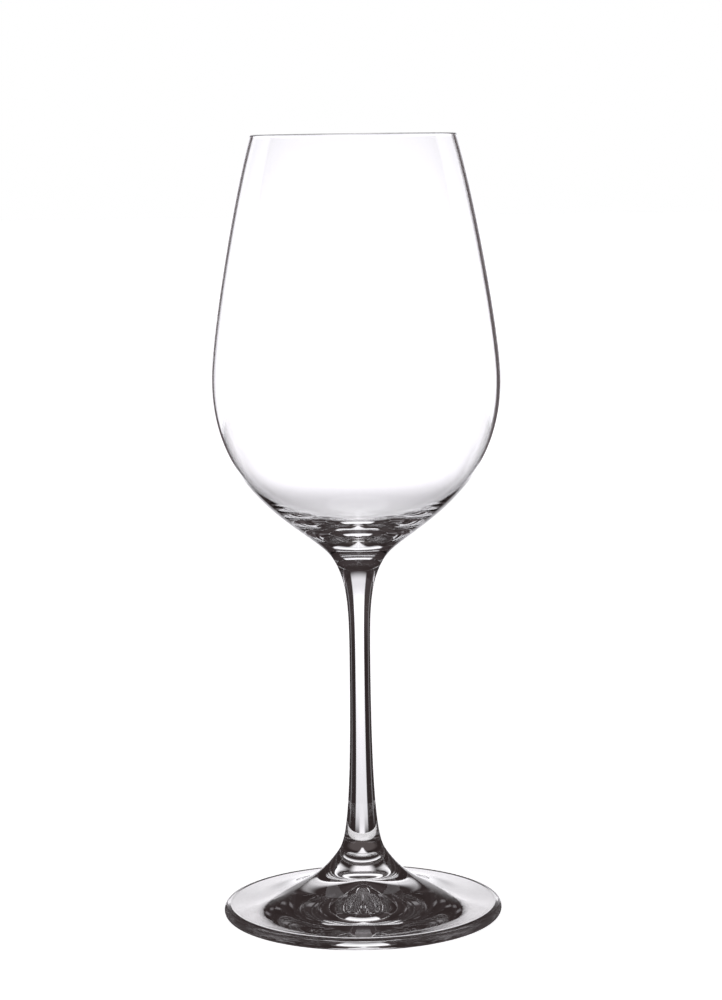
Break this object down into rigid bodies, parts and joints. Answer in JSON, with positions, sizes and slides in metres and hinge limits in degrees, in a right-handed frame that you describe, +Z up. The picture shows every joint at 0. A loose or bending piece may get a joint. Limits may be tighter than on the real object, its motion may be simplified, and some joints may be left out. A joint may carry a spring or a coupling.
{
  "type": "wine glass",
  "caption": "Clear stemmed wine glass: an egg-shaped bowl with a thick base, a slender solid stem that flares at both ends, and a round foot with a low cone and a hollow underside.",
  "frame": {"origin": "on the glass's own axis, in the plane that the foot rests on", "axes": "+Z runs up the stem towards the rim; the glass is round about Z, so X and Y are free"},
  "size_m": [0.081, 0.081, 0.222],
  "materials": {
    "bowl_glass": "clear, fire-polished, smooth",
    "stem_glass": "clear, drawn, smooth",
    "foot_glass": "clear, fire-polished, smooth"
  },
  "bodies": {
    "root": {"bowl": "bowl_glass", "stem": "stem_glass", "foot": "foot_glass"}
  },
  "joints": []
}
